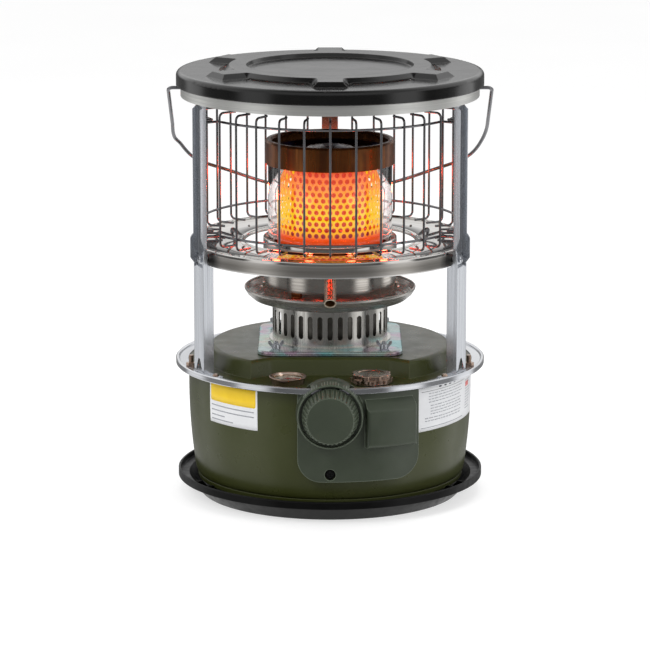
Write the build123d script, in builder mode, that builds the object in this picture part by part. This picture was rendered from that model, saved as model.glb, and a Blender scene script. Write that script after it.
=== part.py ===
from build123d import *

import os
from math import asin, cos, degrees, pi, radians, sin, sqrt, tan

os.makedirs("parts", exist_ok=True)

# Round portable kerosene heater, standing on +Z with its control knob facing -Y.
# The origin is on the vertical axis, in the plane that the drip tray stands on.

# ------------------------------------------------------------------ driving sizes

sheet = 1.2  # steel sheet of the tank, the rings and the top
thin_sheet = 0.8  # sheet of the burner
nest_gap = 0.1  # gap between round sheet parts that nest in each other

tray_foot_radius = 139
tray_rim_radius = 163
tray_rim_top = 25

tank_bottom = 16
tank_radius = 151
tank_seam_top = 142.2
tank_flange_radius = 157
plateau_top = 160
plateau_radius = 127
plateau_foot_radius = 132
plateau_rounding = 5

draft_radius = 42
guide_radius = 55
guide_neck_radius = 49
guide_top = 207

knob_height = 117
knob_radius = 29.3
knob_face_radius = 24
knob_back = -165.6
knob_front = -188
cover_radius = 158.5
cover_wall = 2.0
cover_inner_radius = 151.3
hood_front = -170
shaft_radius = 3
tunnel_radius = 8

pinion_teeth = 15
gear_module = 0.8
pinion_pitch_radius = pinion_teeth * gear_module / 2

gauge_x = -44
cap_x = 43
filler_y = -121

base_side = 153
base_top = 165
stud_offset = 57
collar_radius = 61.5
collar_top = 206.8
dish_rim_radius = 91.2
dish_rim_top = 222

skirt_radius = 70
skirt_bottom = 209
glass_radius = 66
glass_bottom = 268.2
glass_top = 355
flame_tube_radius = 55.8
inner_tube_radius = 41.5
cap_ring_radius = 68.7

plate_radius = 149
plate_top = 271.5
plate_rim_top = 274.2
plate_hole_radius = 91

post_azimuths = {"left": 210, "right": 330, "rear": 90}
post_ear_sides = {"left": (-1,), "right": (1,), "rear": ()}
post_width = 17.8
post_flange = 7
leg_width = 21
post_web = 153
leg_web = 158.7

post_screw_height = 265

guard_azimuths = {"front": 270, "rear_left": 150, "rear_right": 30}
guard_wires_per_sector = 11
guard_pitches = {"front": 10.9, "rear_left": 10, "rear_right": 10}
guard_radius = 140.5
guard_wire = 1.2
hoop_radius = 137.95
hoop_wire = 1.3

top_radius = 162.5
top_rim_bottom = 438.5
top_surface = 453.5
star_height = 5.5
ring_radius = 157.8

bail_pivot_height = 434
bail_wire = 1.9
bail_end_x = 171
bail_rest_angle = 40


# ------------------------------------------------------------------ shared shapes

def sheet_section(*points, thickness=sheet, radius=0.0):
    """Section through a pressed sheet, its outer face along (radius, height) points."""
    with BuildSketch(Plane.XZ) as section:
        with BuildLine():
            if radius:
                FilletPolyline(*points, radius=radius)
            else:
                Polyline(*points)
            offset(amount=thickness, side=Side.LEFT)
        make_face()
    return section.sketch


def solid_section(*points):
    """Closed section, given as (radius, height) corners."""
    with BuildSketch(Plane.XZ) as section:
        with BuildLine():
            Polyline(*points, close=True)
        make_face()
    return section.sketch


def radial_plane(azimuth):
    """Upright plane through the axis: x runs outwards at the azimuth and y runs up."""
    out = (cos(radians(azimuth)), sin(radians(azimuth)), 0)
    across = (sin(radians(azimuth)), -cos(radians(azimuth)), 0)
    return Plane(origin=(0, 0, 0), x_dir=out, z_dir=across)


def turned_plane(azimuth):
    """Level plane whose x axis points outwards at the azimuth."""
    return Plane(origin=(0, 0, 0), x_dir=(cos(radians(azimuth)), sin(radians(azimuth)), 0), z_dir=(0, 0, 1))


def facing_plane(azimuth, radius=0.0, height=0.0):
    """Upright plane that faces outwards at the azimuth: x runs across and y runs up."""
    a = radians(azimuth)
    origin = (radius * cos(a), radius * sin(a), height)
    return Plane(origin=origin, x_dir=(-sin(a), cos(a), 0), z_dir=(cos(a), sin(a), 0))


def finish(piece, name):
    """Labels a finished piece and writes it."""
    piece.part.label = name
    export_step(piece.part, f"parts/{name}.step")


# ------------------------------------------------------------------ drip tray

with BuildPart() as drip_tray:
    revolve(
        solid_section(
            (0, 2), (119, 2), (122, 0), (tray_foot_radius, 0), (154, 16.2), (tray_rim_radius, 16.8),
            (tray_rim_radius, tray_rim_top - 1), (tray_rim_radius - 1, tray_rim_top),
            (tray_rim_radius - 2.4, tray_rim_top - 0.6), (tray_rim_radius - 2.6, 19.2),
            (151.5, 18.7), (137.6, 2.7), (123, 2.7), (120, 4.6), (0, 4.6),
        )
    )
    # Bosses that the tank stands on.
    with BuildSketch(Plane.XY.offset(4)):
        with PolarLocations(98, 6, start_angle=30):
            Circle(8)
    extrude(amount=tank_bottom - 4)
    # Pairs of gussets that stiffen the rim in line with the legs.
    for azimuth in post_azimuths.values():
        for side in (-4.5, 4.5):
            with BuildSketch(radial_plane(azimuth + side)):
                with BuildLine():
                    Polyline(
                        (131, 2.5), (138, 2.2), (152, 18.2), (161, 18.8), (161, 23), (150, 23), close=True,
                    )
                make_face()
            extrude(amount=1.2, both=True)
finish(drip_tray, "drip_tray")

# ------------------------------------------------------------------ fuel tank

with BuildPart() as tank_lower:
    with BuildSketch(Plane.XZ):
        with BuildLine():
            Polyline(
                (draft_radius + nest_gap, tank_bottom), (143, tank_bottom), (tank_radius, 80),
                (tank_radius, 139.8),
                (tank_flange_radius, 139.8), (tank_flange_radius, 139.8 + sheet),
                (tank_radius - sheet, 139.8 + sheet),
                (tank_radius - sheet, 80), (141.9, tank_bottom + sheet),
                (draft_radius + nest_gap, tank_bottom + sheet),
                close=True,
            )
        make_face()
        floor_corners = vertices().filter_by_position(Axis.X, 141, 144)
        fillet(floor_corners.sort_by(Axis.Y)[0], 14)
        fillet(floor_corners.sort_by(Axis.Y)[-1], 12.8)
        wall_corners = vertices().filter_by_position(Axis.Y, 79, 81)
        fillet(wall_corners.sort_by(Axis.X)[0], 600)
        wall_corners = vertices().filter_by_position(Axis.Y, 79, 81)
        fillet(wall_corners.sort_by(Axis.X)[-1], 600)
    revolve()
    # Opening for the wick shaft's tunnel.
    with BuildSketch(Plane.XZ.offset(100)):
        with Locations((0, knob_height)):
            Circle(tunnel_radius + nest_gap)
    extrude(amount=80, mode=Mode.SUBTRACT)
finish(tank_lower, "tank_lower")


def tank_deck(inset):
    """Solid under the tank's top face: a round plateau with a pocket at the front."""
    with BuildPart() as deck:
        revolve(
            solid_section(
                (0, 130), (tank_flange_radius - 8 * inset, 130),
                (tank_flange_radius - 8 * inset, tank_seam_top - inset),
                (plateau_foot_radius - inset, tank_seam_top - inset),
                (plateau_radius - inset, plateau_top - inset),
                (0, plateau_top - inset),
            )
        )
        with BuildSketch(Plane.XY.offset(tank_seam_top - inset)):
            with BuildLine():
                Polyline(
                    (-60 - inset, -86 + inset), (60 + inset, -86 + inset), (130 + inset, -138), (130, -170),
                    (-130, -170), (-130 - inset, -138), close=True,
                )
            make_face()
            fillet(vertices().group_by(Axis.Y)[-1], 12 + inset)
        extrude(amount=plateau_top - tank_seam_top + 1 + inset, taper=-16, mode=Mode.SUBTRACT)
        fillet(faces().sort_by(Axis.Z)[-1].edges(), plateau_rounding - inset)
    return deck.part


with BuildPart() as tank_upper:
    add(tank_deck(0))
    add(tank_deck(sheet), mode=Mode.SUBTRACT)
    split(bisect_by=Plane.XY.offset(tank_seam_top - sheet), keep=Keep.TOP)
    with BuildSketch(Plane.XY.offset(plateau_top + 1)):
        Circle(guide_radius + nest_gap)
        with Locations((cap_x, filler_y)):
            Circle(16.6 + nest_gap)
        with Locations((gauge_x, filler_y)):
            Circle(6 + nest_gap)
    extrude(amount=-30, mode=Mode.SUBTRACT)
finish(tank_upper, "tank_upper")

with BuildPart() as shaft_tunnel:
    with BuildSketch(Plane.XZ.offset(guide_radius - 1.5)):
        with Locations((0, knob_height)):
            Circle(tunnel_radius)
            Circle(tunnel_radius - 1, mode=Mode.SUBTRACT)
    extrude(amount=tank_radius + 0.4 - guide_radius + 1.5)
finish(shaft_tunnel, "shaft_tunnel")

with BuildPart() as draft_tube:
    revolve(
        solid_section(
            (draft_radius - 1, tank_bottom - 2), (draft_radius + 8, tank_bottom - 2),
            (draft_radius + 8, tank_bottom - 0.1),
            (draft_radius, tank_bottom - 0.1), (draft_radius, 206), (draft_radius - 1, 206),
        )
    )
finish(draft_tube, "draft_tube")

with BuildPart() as guard_ring:
    revolve(
        solid_section(
            (tank_radius + 0.6, tank_seam_top), (160.8, tank_seam_top), (160.8, 139.6), (161.6, 139),
            (164, 139), (164.8, 139.8), (164.8, 144.7), (164, 145.5), (161.8, 145.5), (161, 144.6),
            (160.6, tank_seam_top + sheet), (tank_radius + 0.6, tank_seam_top + sheet),
        )
    )
finish(guard_ring, "guard_ring")

# ------------------------------------------------------------------ filler and its cap

neck_top = 149.5
neck_bore_radius = 15.5

with BuildPart() as filler_neck:
    with BuildSketch(Plane.XY.offset(134)):
        with Locations((cap_x, filler_y)):
            Circle(16.6)
            Circle(neck_bore_radius, mode=Mode.SUBTRACT)
    extrude(amount=neck_top - 134)
    with BuildSketch(Plane.XY.offset(tank_seam_top)):
        with Locations((cap_x, filler_y)):
            Circle(18.2)
            Circle(16, mode=Mode.SUBTRACT)
    extrude(amount=1)
finish(filler_neck, "filler_neck")

strainer_plane = Plane(origin=(cap_x, filler_y, 92))

with BuildPart() as fuel_strainer:
    with BuildSketch(strainer_plane):
        Circle(14)
    extrude(amount=41)
    with BuildSketch(strainer_plane.offset(40.2)):
        Circle(16.6)
    extrude(amount=1.7)
    with BuildSketch(strainer_plane.offset(0.8)):
        Circle(13.2)
    extrude(amount=42, mode=Mode.SUBTRACT)
    with BuildSketch(strainer_plane.offset(5)):
        with PolarLocations(14, 10):
            Rectangle(6, 3)
    extrude(amount=30, mode=Mode.SUBTRACT)
finish(fuel_strainer, "fuel_strainer")

with BuildPart() as fuel_cap_plug:
    with BuildSketch(Plane.XY.offset(neck_top - 5)):
        with Locations((cap_x, filler_y)):
            Circle(neck_bore_radius - 0.5)
    extrude(amount=5.4)
    with BuildSketch(Plane.XY.offset(neck_top + 1.4)):
        with Locations((cap_x, filler_y)):
            Circle(3)
    extrude(amount=-1.2)
    with BuildSketch(Plane.XY.offset(neck_top - 5)):
        with Locations((cap_x, filler_y)):
            Circle(neck_bore_radius - 2)
    extrude(amount=4, mode=Mode.SUBTRACT)
finish(fuel_cap_plug, "fuel_cap_plug")

with BuildPart() as fuel_cap_gasket:
    with BuildSketch(Plane.XY.offset(neck_top + 0.05)):
        with Locations((cap_x, filler_y)):
            Circle(17.6)
            Circle(neck_bore_radius - 0.4, mode=Mode.SUBTRACT)
    extrude(amount=1)
finish(fuel_cap_gasket, "fuel_cap_gasket")

cap_bottom = 143.4
cap_step = 148.2
cap_top = 153
cap_lobes = 8

with BuildPart() as fuel_cap:
    with BuildSketch(Plane.XY.offset(cap_bottom)):
        with Locations((cap_x, filler_y)):
            Circle(20.6)
            with PolarLocations(16.4, cap_lobes):
                Circle(5.6)
    extrude(amount=cap_step - cap_bottom)
    with BuildSketch(Plane.XY.offset(cap_step)):
        with Locations((cap_x, filler_y)):
            Circle(19.2)
            with PolarLocations(15.4, cap_lobes, start_angle=180 / cap_lobes):
                Circle(5.6)
    extrude(amount=cap_top - cap_step)
    fillet(faces().sort_by(Axis.Z)[-1].edges(), 0.9)
    # Dished middle of the cap.
    with BuildSketch(Plane.XY.offset(cap_top)):
        with Locations((cap_x, filler_y)):
            Circle(14.5)
    extrude(amount=-0.9, taper=40, mode=Mode.SUBTRACT)
    # Hollow that turns over the neck.
    with BuildSketch(Plane.XY.offset(cap_bottom)):
        with Locations((cap_x, filler_y)):
            Circle(18.6)
    extrude(amount=neck_top + 1.5 - cap_bottom, mode=Mode.SUBTRACT)
finish(fuel_cap, "fuel_cap")

# ------------------------------------------------------------------ fuel gauge and float

gauge_plane = Plane(origin=(gauge_x, filler_y, tank_seam_top))
float_pivot_height = 82
float_arm_length = 70
float_direction = 130
float_out = (cos(radians(float_direction)), sin(radians(float_direction)))
float_pivot = (gauge_x, filler_y, float_pivot_height)
float_plane = Plane(origin=float_pivot, x_dir=(*float_out, 0), z_dir=(float_out[1], -float_out[0], 0))

with BuildPart() as gauge_bezel:
    with BuildSketch(gauge_plane):
        Circle(17)
    extrude(amount=7.6, taper=-14)
    with BuildSketch(gauge_plane.offset(6)):
        Circle(19.7)
    extrude(amount=1.8)
    fillet(edges().filter_by(GeomType.CIRCLE).sort_by(SortBy.RADIUS)[-2:], 0.7)
    with BuildSketch(gauge_plane.offset(1.2)):
        Circle(15.6)
    extrude(amount=8, taper=-14, mode=Mode.SUBTRACT)
    with BuildSketch(gauge_plane.offset(-1)):
        Circle(4.1)
    extrude(amount=4, mode=Mode.SUBTRACT)
finish(gauge_bezel, "gauge_bezel")

with BuildPart() as gauge_stem:
    with BuildSketch(gauge_plane.offset(-2.4)):
        Circle(5.9)
    extrude(amount=2.3)
    with BuildSketch(gauge_plane.offset(-2.4)):
        Circle(4)
    extrude(amount=float_pivot_height + 6 - tank_seam_top + 2.4)
    # Yoke whose cheeks carry the float arm's pivot.
    with BuildSketch(Plane(float_plane.origin + Vector(0, 0, 8), x_dir=float_plane.x_dir, z_dir=(0, 0, 1))):
        with Locations((0, 3.2), (0, -3.2)):
            Rectangle(8, 1.6)
    extrude(amount=-13)
    with BuildSketch(gauge_plane.offset(-0.1)):
        Circle(1.1)
    extrude(amount=-80, mode=Mode.SUBTRACT)
    with BuildSketch(float_plane.offset(5)):
        Circle(1.1)
    extrude(amount=-10, mode=Mode.SUBTRACT)
finish(gauge_stem, "gauge_stem")

with BuildPart() as gauge_dial:
    with BuildSketch(gauge_plane.offset(2.6)):
        Circle(15.4)
        Circle(1.6, mode=Mode.SUBTRACT)
    extrude(amount=0.6)
finish(gauge_dial, "gauge_dial")

with BuildPart() as gauge_needle:
    with BuildSketch(gauge_plane.offset(3.9)):
        Circle(2)
        with BuildLine():
            Polyline((-5, 0.9), (-5, -0.9), (12.5, -0.35), (12.5, 0.35), close=True)
        make_face()
    extrude(amount=0.5)
    with BuildSketch(gauge_plane.offset(3.9)):
        Circle(1)
    extrude(amount=-50)
finish(gauge_needle, "gauge_needle")

with BuildPart() as gauge_lens:
    with BuildSketch(gauge_plane.offset(5.4)):
        Circle(16.5)
    extrude(amount=1)
finish(gauge_lens, "gauge_lens")

with BuildPart() as float_arm:
    # Pivot pin, flat lever and the pin that carries the float.
    with BuildSketch(float_plane):
        Circle(1)
    extrude(amount=4, both=True)
    with BuildSketch(float_plane):
        Circle(2.6)
        with Locations((float_arm_length / 2, 0)):
            Rectangle(float_arm_length, 2.4)
    extrude(amount=0.9, both=True)
finish(float_arm, "float_arm")

with BuildPart() as tank_float:
    with BuildSketch(float_plane.offset(-11)):
        with Locations((float_arm_length, 0)):
            Circle(11)
    extrude(amount=22)
    fillet(edges().filter_by(GeomType.CIRCLE), 3)
    # Slot that the lever is pressed into.
    with BuildSketch(float_plane):
        with Locations((float_arm_length / 2 + 0.3, 0)):
            Rectangle(float_arm_length + 0.6, 2.6)
    extrude(amount=1, both=True, mode=Mode.SUBTRACT)
finish(tank_float, "float")

# ------------------------------------------------------------------ wick and its drive

with BuildPart() as wick_guide_tube:
    revolve(
        sheet_section(
            (guide_radius, 34), (guide_radius, 162), (guide_neck_radius + 1, 167.5),
            (guide_neck_radius + 1, guide_top - 1), (58, guide_top - 1), thickness=1,
        )
    )
    with BuildSketch(Plane.XZ.offset(guide_radius - 4)):
        with Locations((0, knob_height)):
            Circle(tunnel_radius + nest_gap)
    extrude(amount=8, mode=Mode.SUBTRACT)
    # Ports that let fuel reach the wick.
    with BuildSketch(Plane.XY.offset(33)):
        with PolarLocations(guide_radius, 6):
            Rectangle(8, 12)
    extrude(amount=8, mode=Mode.SUBTRACT)
finish(wick_guide_tube, "wick_guide_tube")

with BuildPart() as wick:
    revolve(solid_section((42.8, 36), (46.2, 36), (46.2, 210), (45.2, 212), (43.8, 212), (42.8, 210)))
finish(wick, "wick")

tooth_pitch = pi * gear_module
pressure_angle = 20
backlash = 0.12
rack_addendum = 0.6


def involute(base_radius, roll):
    """Point of an involute that starts on +X, unrolled through an angle in radians."""
    return base_radius * (cos(roll) + roll * sin(roll)), base_radius * (sin(roll) - roll * cos(roll))


def pinion_tooth():
    """One involute tooth, centred on +X."""
    base_radius = pinion_pitch_radius * cos(radians(pressure_angle))
    tip_roll = sqrt((pinion_pitch_radius + gear_module * 0.9) ** 2 / base_radius ** 2 - 1)
    pitch_roll = tan(radians(pressure_angle))
    half_thickness = (tooth_pitch / 4 - backlash / 2) / pinion_pitch_radius
    start_angle = degrees(half_thickness + pitch_roll - radians(pressure_angle))
    steps = 6
    flank = [
        Vector(*involute(base_radius, tip_roll * i / steps)).rotate(Axis.Z, -start_angle)
        for i in range(steps + 1)
    ]
    root = Vector(pinion_pitch_radius - 1.1, 0).rotate(Axis.Z, -start_angle)
    with BuildSketch() as tooth:
        with BuildLine():
            lower = Polyline(root, *flank)
            mirror(about=Plane.XZ)
            upper = lower.mirror(Plane.XZ)
            Line(lower @ 1, upper @ 1)
            Line(lower @ 0, upper @ 0)
        make_face()
    return tooth.sketch


rack_teeth = 8
rack_start = knob_height - tooth_pitch
rack_y = -47.7
rack_face_width = 4.8

with BuildPart() as wick_holder:
    revolve(solid_section((46.3, 70), (47.1, 70), (47.1, 150), (46.3, 150)))
    # Slot in the sleeve behind the pinion's end.
    with BuildSketch(Plane.XZ.offset(40)):
        with Locations((0, knob_height + 8)):
            Rectangle(9, 36)
    extrude(amount=10, mode=Mode.SUBTRACT)
    # Toothed rack that the pinion lifts.
    with BuildSketch(Plane.XZ.offset(46)):
        with BuildLine():
            Polyline(
                (-9.4, rack_start - 3), (-7.1, rack_start - 3),
                (-7.1, rack_start + rack_teeth * tooth_pitch),
                (-9.4, rack_start + rack_teeth * tooth_pitch), close=True,
            )
        make_face()
        for tooth in range(rack_teeth):
            with BuildLine():
                middle = rack_start + tooth * tooth_pitch
                flank_shift = tan(radians(pressure_angle))
                half = tooth_pitch / 4 - backlash / 2
                pitch_line = -pinion_pitch_radius
                Polyline(
                    (-7.4, middle - half - 1.4 * flank_shift),
                    (pitch_line + rack_addendum, middle - half + rack_addendum * flank_shift),
                    (pitch_line + rack_addendum, middle + half - rack_addendum * flank_shift),
                    (-7.4, middle + half + 1.4 * flank_shift), close=True,
                )
            make_face()
    extrude(amount=6.4)
finish(wick_holder, "wick_holder")

with BuildPart() as pinion_shaft:
    with BuildSketch(Plane.XZ.offset(-rack_y)):
        with Locations((0, knob_height)):
            Circle(pinion_pitch_radius - 1)
            for tooth in range(pinion_teeth):
                add(pinion_tooth().rotate(Axis.Z, (tooth + 0.5) * 360 / pinion_teeth + 180))
    extrude(amount=rack_face_width)
    with BuildSketch(Plane.XZ.offset(-rack_y)):
        with Locations((0, knob_height)):
            Circle(shaft_radius)
    extrude(amount=180 + rack_y)
finish(pinion_shaft, "pinion_shaft")

knob_flutes = 36
knob_axis = Axis((0, 0, knob_height), (0, -1, 0))
knob_plane = Plane(origin=(0, 0, knob_height), x_dir=(1, 0, 0), z_dir=(0, -1, 0))

with BuildPart() as knob:
    with BuildSketch(Plane.YZ):
        with BuildLine():
            Polyline(
                (knob_back, knob_height), (knob_back, knob_height + knob_radius),
                (knob_back - 4, knob_height + knob_radius),
                (knob_front + 1.2, knob_height + knob_face_radius + 1.4),
                (knob_front, knob_height + knob_face_radius),
                (knob_front, knob_height), close=True,
            )
        make_face()
    revolve(axis=knob_axis)
    # Grip flutes down the tapered side.
    flute_foot = Vector(0, knob_back - 2, knob_height + knob_radius + 0.8)
    flute_head = Vector(0, knob_front - 1, knob_height + knob_face_radius + 1.4)
    with BuildPart(Plane(flute_foot, z_dir=flute_head - flute_foot), mode=Mode.PRIVATE) as flute:
        Cylinder(1.5, 30, align=(Align.CENTER, Align.CENTER, Align.MIN))
    with Locations(knob_plane):
        with PolarLocations(0, knob_flutes):
            add(flute.part.moved(knob_plane.location.inverse()), mode=Mode.SUBTRACT)
    # Socket for the shaft, and the hollow back.
    with BuildSketch(Plane.XZ.offset(-knob_back)):
        with Locations((0, knob_height)):
            Circle(shaft_radius + 0.05)
    extrude(amount=15, mode=Mode.SUBTRACT)
    with BuildSketch(Plane.XZ.offset(-knob_back)):
        with Locations((0, knob_height)):
            Circle(knob_radius - 3)
            Circle(6, mode=Mode.SUBTRACT)
    extrude(amount=14, taper=14, mode=Mode.SUBTRACT)
finish(knob, "knob")

# ------------------------------------------------------------------ control cover

cover_left = -34
cover_right = 92
cover_bottom = 45
cover_top = 138
bulge_front_radius = 169
bulge_bottom = 81
bulge_top = 134
bulge_rounding = 4
bulge_start = -90 + degrees(asin(36 / cover_radius))
bulge_end = -90 + degrees(asin(91 / bulge_front_radius))


def cover_form(inset):
    """Solid under the cover's outer face: a curved plate with a bulge over the tip-over switch."""
    with BuildPart() as form:
        with BuildSketch(Plane.XZ.offset(60)):
            with BuildLine():
                Polyline(
                    (cover_left + inset, cover_bottom + inset), (cover_right - inset, cover_bottom + inset),
                    (cover_right - inset, cover_top - inset),
                    (cover_left + inset, cover_top - inset), close=True,
                )
            make_face()
            fillet(vertices().group_by(Axis.Y)[0], 24 - inset)
        extrude(amount=140)
        with BuildSketch(Plane.XY.offset(40)):
            Circle(cover_radius - inset)
        extrude(amount=110, mode=Mode.INTERSECT)
        slope = bulge_front_radius - cover_radius + 2
        with BuildSketch(radial_plane(bulge_start + inset * 0.6)):
            with BuildLine():
                Polyline(
                    (140, bulge_bottom + inset), (bulge_front_radius - inset, bulge_bottom + 1 + inset),
                    (bulge_front_radius - inset, bulge_top - slope),
                    (cover_radius - 2, bulge_top - inset * 1.4),
                    (140, bulge_top - inset * 1.4), close=True,
                )
            make_face()
        revolve(axis=Axis.Z, revolution_arc=bulge_end - bulge_start - inset * 1.2)
        bulge_edges = [
            edge for edge in edges()
            if Vector(edge.center().X, edge.center().Y).length > bulge_front_radius - inset - 3
        ]
        fillet(bulge_edges, bulge_rounding - inset * 0.6)
    return form.part


with BuildPart() as control_cover:
    add(cover_form(0))
    # Round hood that the knob sits in.
    with BuildSketch(Plane.YZ):
        with BuildLine():
            Polyline(
                (-141, knob_height), (-141, knob_height + 35.6), (-153, knob_height + 35.6),
                (hood_front + 0.8, knob_height + 34), (hood_front, knob_height + 33.4),
                (hood_front, knob_height), close=True,
            )
        make_face()
    revolve(axis=knob_axis)
    # Hollow back.
    add(cover_form(cover_wall), mode=Mode.SUBTRACT)
    # Room for the tank's wall, its seam and the guard ring.
    with BuildSketch(Plane.XY.offset(30)):
        Circle(cover_inner_radius)
    extrude(amount=tank_seam_top + 0.3 - 30, mode=Mode.SUBTRACT)
    revolve(
        solid_section((145, 138.6), (165.2, 138.6), (165.2, 145.9), (145, 145.9)),
        mode=Mode.SUBTRACT,
    )
    # Recess for the knob.
    with BuildSketch(Plane.XZ.offset(-hood_front)):
        with Locations((0, knob_height)):
            Circle(32.2)
    extrude(amount=-6, mode=Mode.SUBTRACT)
    with BuildSketch(Plane.XZ.offset(100)):
        with Locations((0, knob_height)):
            Circle(shaft_radius + 0.8)
        with Locations((0, 53)):
            Circle(5.8)
    extrude(amount=80, mode=Mode.SUBTRACT)
finish(control_cover, "control_cover")

with BuildPart() as cover_screw:
    with BuildSketch(Plane.XZ.offset(149.2)):
        with Locations((0, 53)):
            Circle(2.5)
    extrude(amount=6)
    with BuildSketch(Plane.XZ.offset(154.2)):
        with Locations((0, 53)):
            Circle(5.2)
    extrude(amount=2.6)
    fillet(faces().sort_by(Axis.Y)[0].edges(), 1.2)
    with BuildSketch(Plane.XZ.offset(156.9)):
        with Locations((0, 53)):
            Rectangle(6, 1.1)
            Rectangle(1.1, 6)
    extrude(amount=-1.4, mode=Mode.SUBTRACT)
finish(cover_screw, "cover_screw")

# ------------------------------------------------------------------ tip-over pendulum

pendulum_azimuth = -66
pendulum_pivot = 122
pendulum_face = facing_plane(pendulum_azimuth, 158, pendulum_pivot)

with BuildPart() as pendulum_bracket:
    with BuildSketch(pendulum_face.offset(-5.6)):
        with Locations((0, 2)):
            RectangleRounded(16, 18, 2)
    extrude(amount=1.2)
    with BuildSketch(pendulum_face.offset(-5.6)):
        Circle(1.5)
    extrude(amount=9)
finish(pendulum_bracket, "pendulum_bracket")

with BuildPart() as pendulum:
    with BuildSketch(pendulum_face.offset(-1)):
        Circle(3.2)
        with Locations((0, -12)):
            Rectangle(3, 24)
        Circle(1.58, mode=Mode.SUBTRACT)
    extrude(amount=1.4)
    with BuildSketch(pendulum_face.offset(-4)):
        with Locations((0, -27)):
            Circle(8)
    extrude(amount=8.5)
    fillet(edges().filter_by(GeomType.CIRCLE).sort_by(SortBy.RADIUS)[-2:], 1)
finish(pendulum, "pendulum")

# ------------------------------------------------------------------ burner base

with BuildPart() as base_gasket:
    with BuildSketch(Plane.XY.offset(plateau_top)):
        RectangleRounded(base_side - 6, base_side - 6, 14)
        Circle(guide_radius + 1.5, mode=Mode.SUBTRACT)
        with GridLocations(2 * stud_offset, 2 * stud_offset, 2, 2):
            Circle(3, mode=Mode.SUBTRACT)
    extrude(amount=base_top - sheet - plateau_top)
finish(base_gasket, "base_gasket")

with BuildPart() as burner_base_plate:
    with BuildSketch(Plane.XY.offset(plateau_top + 0.6)):
        RectangleRounded(base_side, base_side, 17)
    extrude(amount=base_top - plateau_top - 0.6)
    fillet(faces().sort_by(Axis.Z)[-1].edges(), 1.8)
    with BuildSketch(Plane.XY.offset(plateau_top + 0.6)):
        RectangleRounded(base_side - 2 * sheet, base_side - 2 * sheet, 17 - sheet)
    extrude(amount=base_top - sheet - plateau_top - 0.6, mode=Mode.SUBTRACT)
    with BuildSketch(Plane.XY.offset(base_top)):
        Circle(guide_radius + 1.5)
        with GridLocations(2 * stud_offset, 2 * stud_offset, 2, 2):
            Circle(3)
    extrude(amount=-10, mode=Mode.SUBTRACT)
finish(burner_base_plate, "burner_base_plate")

with BuildPart() as base_studs:
    with BuildSketch(Plane.XY.offset(plateau_top)):
        with GridLocations(2 * stud_offset, 2 * stud_offset, 2, 2):
            Circle(2.5)
    extrude(amount=12.6)
    chamfer(edges().filter_by(GeomType.CIRCLE).group_by(Axis.Z)[-1], 0.6)
finish(base_studs, "base_studs")

with BuildPart() as wing_nuts:
    for corner, turn in enumerate((35, -25, 12, -14)):
        azimuth = 45 + 90 * corner
        nut_centre = Vector(stud_offset * sqrt(2), 0, base_top).rotate(Axis.Z, azimuth)
        nut_plane = Plane(origin=nut_centre, x_dir=Vector(1, 0, 0).rotate(Axis.Z, turn), z_dir=(0, 0, 1))
        with BuildSketch(nut_plane):
            Circle(4.6)
        extrude(amount=4.6, taper=8)
        with BuildSketch(Plane(origin=nut_centre, x_dir=nut_plane.x_dir, z_dir=nut_plane.y_dir * -1)):
            with BuildLine():
                Polyline(
                    (2, 0.6), (4.4, 0.8), (8.4, 5.4), (8.2, 8.2), (6.2, 8.6), (3.6, 4.4),
                    (2, 3.6), close=True,
                )
            make_face()
            mirror(about=Plane.YZ)
            fillet(vertices().group_by(Axis.Y)[-1], 0.9)
        extrude(amount=1, both=True)
    with BuildSketch(Plane.XY.offset(base_top)):
        with GridLocations(2 * stud_offset, 2 * stud_offset, 2, 2):
            Circle(2.55)
    extrude(amount=15, mode=Mode.SUBTRACT)
finish(wing_nuts, "wing_nuts")

slot_count = 36
slot_bottom = 174
slot_top = 199

with BuildPart() as slotted_collar:
    revolve(
        sheet_section(
            (collar_radius + 3.5, base_top + sheet), (collar_radius, base_top + sheet),
            (collar_radius, collar_top),
        )
    )
    with BuildSketch(Plane.XZ.offset(collar_radius - 4)):
        with Locations((0, (slot_bottom + slot_top) / 2)):
            SlotOverall(slot_top - slot_bottom, 5.5, rotation=90)
    slot_tool = extrude(amount=8, mode=Mode.PRIVATE)
    with PolarLocations(0, slot_count):
        add(slot_tool, mode=Mode.SUBTRACT)
finish(slotted_collar, "slotted_collar")

handle_foot = Vector(0, -69.5, 243.4)
handle_end = Vector(0, -99, 221.6)
handle_radius = 6.3
handle_plane = Plane(origin=handle_foot, x_dir=(1, 0, 0), z_dir=handle_end - handle_foot)
handle_length = (handle_end - handle_foot).length

with BuildPart() as burner_dish:
    # Pressed bowl with a thick turned-in lip.
    revolve(
        solid_section(
            (58.4, collar_top + 0.1), (75, collar_top + 0.1), (82, 209.4), (88, 214.5),
            (dish_rim_radius - 0.2, 219.3),
            (dish_rim_radius, 220.2), (dish_rim_radius, dish_rim_top - 0.6),
            (dish_rim_radius - 0.6, dish_rim_top),
            (dish_rim_radius - 1.6, dish_rim_top), (dish_rim_radius - 2, dish_rim_top - 0.8),
            (dish_rim_radius - 1.4, 219.9),
            (87.4, 215.1), (81.6, 210.2), (74.8, collar_top + 0.9), (58.4, collar_top + 0.9),
        )
    )
    # Notch that the burner's handle rests in.
    with BuildSketch(handle_plane):
        Circle(handle_radius + 0.7)
    extrude(amount=handle_length + 15, mode=Mode.SUBTRACT)
finish(burner_dish, "burner_dish")

# ------------------------------------------------------------------ lift-up burner

with BuildPart() as burner_skirt:
    revolve(
        sheet_section(
            (flame_tube_radius + 0.3, skirt_bottom), (skirt_radius, skirt_bottom),
            (skirt_radius, 266.9), thickness=thin_sheet,
        )
    )
finish(burner_skirt, "burner_skirt")

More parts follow.
